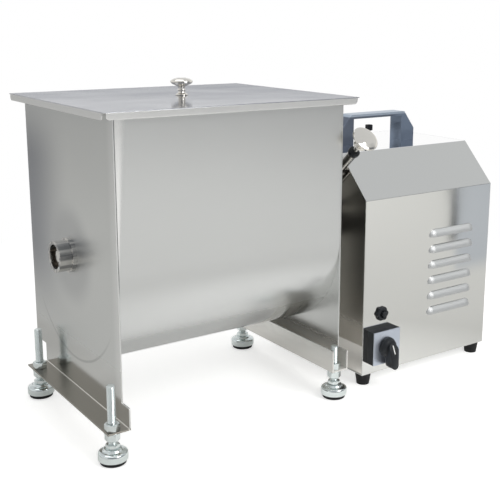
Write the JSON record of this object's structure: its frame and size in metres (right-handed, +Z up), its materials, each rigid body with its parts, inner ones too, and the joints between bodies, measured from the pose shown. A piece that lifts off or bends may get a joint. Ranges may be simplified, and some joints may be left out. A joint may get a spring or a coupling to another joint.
{
  "type": "meat mixer",
  "caption": "Stainless tank meat mixer on levelling feet, with a lift-off lid, a paddle shaft, and a separate geared motor unit clamped to its drive neck.",
  "frame": {"origin": "on the floor, under the middle of the whole machine's bounding box", "axes": "+X from the tank to the motor unit along the paddle shaft, +Z up, the front with the switch faces -Y"},
  "size_m": [0.7228, 0.37, 0.4855],
  "materials": {
    "brushed_stainless": "brushed stainless sheet, satin",
    "turned_stainless": "turned stainless steel, bright",
    "cast_stainless": "cast and ground stainless steel",
    "bronze": "plain bearing bronze",
    "white_plastic": "white seal plastic",
    "zinc_steel": "zinc plated steel, bluish",
    "black_rubber": "moulded black rubber",
    "polished_chrome": "polished metal",
    "handle_steel": "polished stainless sheet that reflects a dark room",
    "black_plastic": "moulded black plastic",
    "satin_aluminium": "satin aluminium",
    "cast_housing": "grey cast housing",
    "gear_steel": "machined gear steel",
    "motor_paint": "blue grey painted motor shell"
  },
  "bodies": {
    "tank_frame": {"left_end_plate": "brushed_stainless", "right_end_plate": "brushed_stainless", "trough": "brushed_stainless", "left_bearing_housing": "turned_stainless", "left_bush": "bronze", "left_shaft_seal": "white_plastic", "housing_screw": "zinc_steel", "drive_neck": "turned_stainless", "right_bush": "bronze", "right_shaft_seal": "white_plastic", "neck_screws": "zinc_steel", "upper_foot_nuts": "zinc_steel", "lower_foot_nuts": "zinc_steel"},
    "lid": {"lid": "brushed_stainless", "lid_knob": "polished_chrome", "lid_knob_screw": "zinc_steel"},
    "mixing_shaft": {"mixing_shaft": "turned_stainless", "paddle_1": "cast_stainless", "paddle_2": "cast_stainless", "paddle_3": "cast_stainless", "paddle_4": "cast_stainless"},
    "foot_front_left": {"foot_stud_front_left": "zinc_steel", "foot_cup_front_left": "zinc_steel", "foot_pad_front_left": "black_rubber"},
    "foot_back_left": {"foot_stud_back_left": "zinc_steel", "foot_cup_back_left": "zinc_steel", "foot_pad_back_left": "black_rubber"},
    "foot_front_right": {"foot_stud_front_right": "zinc_steel", "foot_cup_front_right": "zinc_steel", "foot_pad_front_right": "black_rubber"},
    "foot_back_right": {"foot_stud_back_right": "zinc_steel", "foot_cup_back_right": "zinc_steel", "foot_pad_back_right": "black_rubber"},
    "motor_unit": {"front_cover": "brushed_stainless", "left_side_panel": "brushed_stainless", "right_side_panel": "brushed_stainless", "back_panel": "brushed_stainless", "base_plate": "brushed_stainless", "rubber_feet": "black_rubber", "panel_screws": "zinc_steel", "handle": "handle_steel", "filler_plug": "black_plastic", "drive_hub": "turned_stainless", "clamp_sleeve": "turned_stainless", "switch_body": "black_plastic", "switch_plate": "satin_aluminium", "reset_breaker": "black_plastic", "gearbox_housing": "cast_housing", "gear_bearings": "gear_steel", "motor_shell": "motor_paint", "start_capacitor": "satin_aluminium", "cable_gland": "black_plastic"},
    "clamp": {"clamp_rod": "turned_stainless", "clamp_collar": "black_plastic", "clamp_knob": "polished_chrome"},
    "switch_lever": {"switch_lever": "black_plastic"},
    "reset_button": {"reset_button": "black_plastic"},
    "output_shaft": {"output_shaft": "gear_steel"},
    "idler_gears": {"idler_gears": "gear_steel"},
    "motor_rotor": {"motor_rotor": "gear_steel"}
  },
  "joints": [
    {"name": "lid_lift", "type": "slide", "parent": "tank_frame", "child": "lid", "axis": [0, 0, 1], "range_m": [0, 0.15]},
    {"name": "mixing_spin", "type": "hinge", "parent": "tank_frame", "child": "mixing_shaft", "pos_m": [-0.13762, 0.01715, 0.243], "axis": [1, 0, 0], "continuous": true},
    {"name": "level_front_left", "type": "slide", "parent": "tank_frame", "child": "foot_front_left", "axis": [0, 0, 1], "range_m": [-0.02, 0.003]},
    {"name": "level_back_left", "type": "slide", "parent": "tank_frame", "child": "foot_back_left", "axis": [0, 0, 1], "range_m": [-0.02, 0.003]},
    {"name": "level_front_right", "type": "slide", "parent": "tank_frame", "child": "foot_front_right", "axis": [0, 0, 1], "range_m": [-0.02, 0.003]},
    {"name": "level_back_right", "type": "slide", "parent": "tank_frame", "child": "foot_back_right", "axis": [0, 0, 1], "range_m": [-0.02, 0.003]},
    {"name": "unit_slide", "type": "slide", "parent": "tank_frame", "child": "motor_unit", "axis": [1, 0, 0], "range_m": [0, 0.07]},
    {"name": "clamp_turn", "type": "hinge", "parent": "motor_unit", "child": "clamp", "pos_m": [0.07387, -0.13148, 0.37683], "axis": [0, -0.7431, 0.6691], "range_deg": [0, 720]},
    {"name": "switch_turn", "type": "hinge", "parent": "motor_unit", "child": "switch_lever", "pos_m": [0.12287, -0.16705, 0.065], "axis": [0, -1, 0], "range_deg": [-45, 45]},
    {"name": "reset_press", "type": "slide", "parent": "motor_unit", "child": "reset_button", "axis": [0, 1, 0], "range_m": [0, 0.003], "stiffness_N_per_m": 500, "springref_m": -0.002},
    {"name": "output_spin", "type": "hinge", "parent": "motor_unit", "child": "output_shaft", "pos_m": [0.10837, 0.01715, 0.243], "axis": [1, 0, 0], "continuous": true},
    {"name": "idler_spin", "type": "hinge", "parent": "motor_unit", "child": "idler_gears", "pos_m": [0.15338, -0.00542, 0.18098], "axis": [1, 0, 0], "continuous": true},
    {"name": "motor_spin", "type": "hinge", "parent": "motor_unit", "child": "motor_rotor", "pos_m": [0.23838, -0.02761, 0.1334], "axis": [1, 0, 0], "continuous": true}
  ],
  "couplings": [
    {"joint": "output_spin", "follows": "mixing_spin", "ratio": 1},
    {"joint": "idler_spin", "follows": "mixing_spin", "ratio": -4.5},
    {"joint": "motor_spin", "follows": "mixing_spin", "ratio": 22.5}
  ]
}
